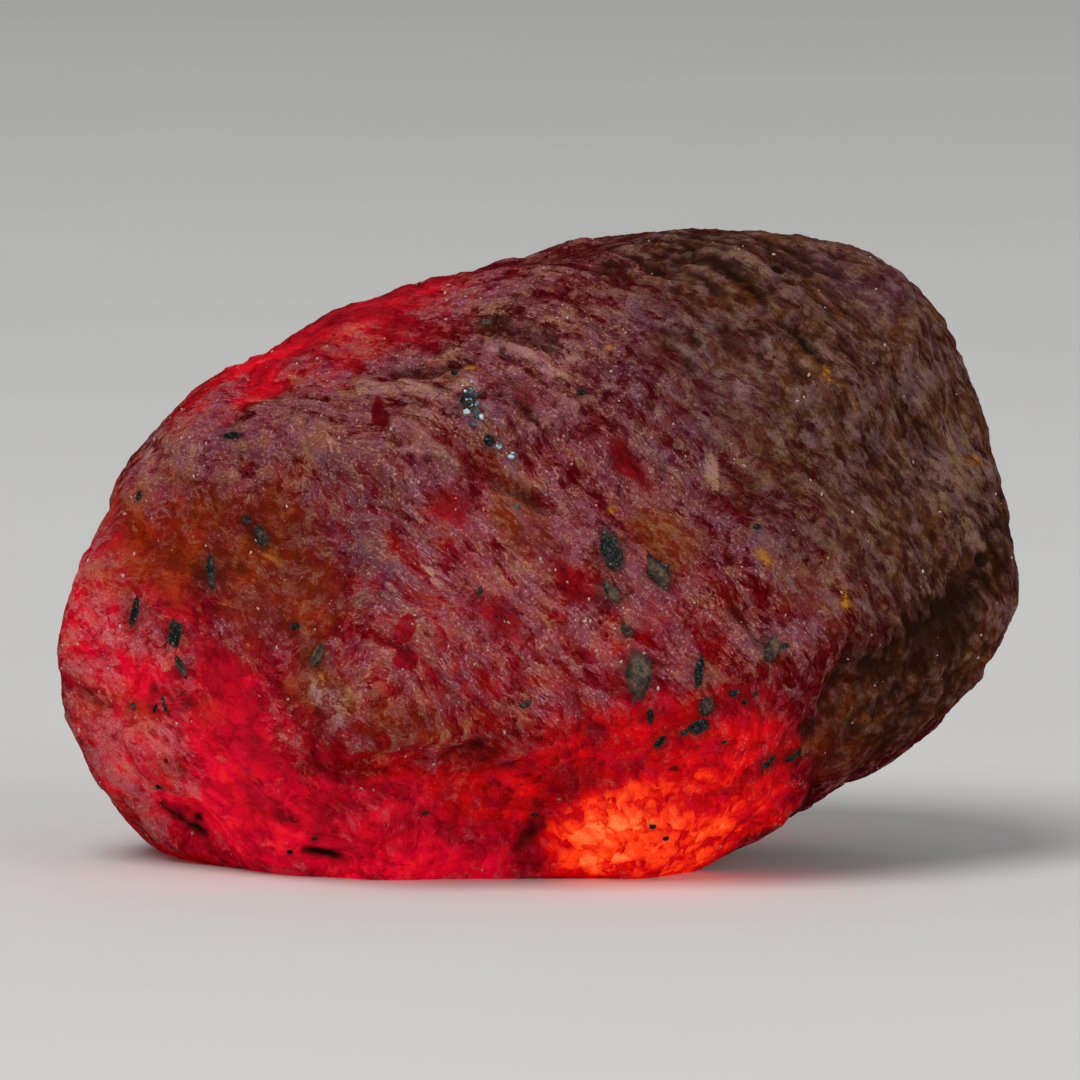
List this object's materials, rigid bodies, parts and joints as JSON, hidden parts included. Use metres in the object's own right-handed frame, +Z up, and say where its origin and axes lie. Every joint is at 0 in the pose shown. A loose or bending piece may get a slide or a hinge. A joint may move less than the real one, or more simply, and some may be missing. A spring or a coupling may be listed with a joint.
{
  "type": "raw ruby crystal",
  "caption": "Water-worn raw ruby crystal, a blunt oblong stone with soft flats and parting ledges that lies on its flat rubbed base.",
  "frame": {"origin": "middle of the stone's plan, on the flat base that it lies on", "axes": "+Z up from the base, +X along the stone's long axis towards its brown-crusted end, -Y out of its best face"},
  "size_m": [0.016, 0.0098, 0.0106],
  "materials": {
    "raw_ruby": "water-worn, waxy to frosted"
  },
  "bodies": {
    "root": {"ruby_crystal": "raw_ruby"}
  },
  "joints": []
}
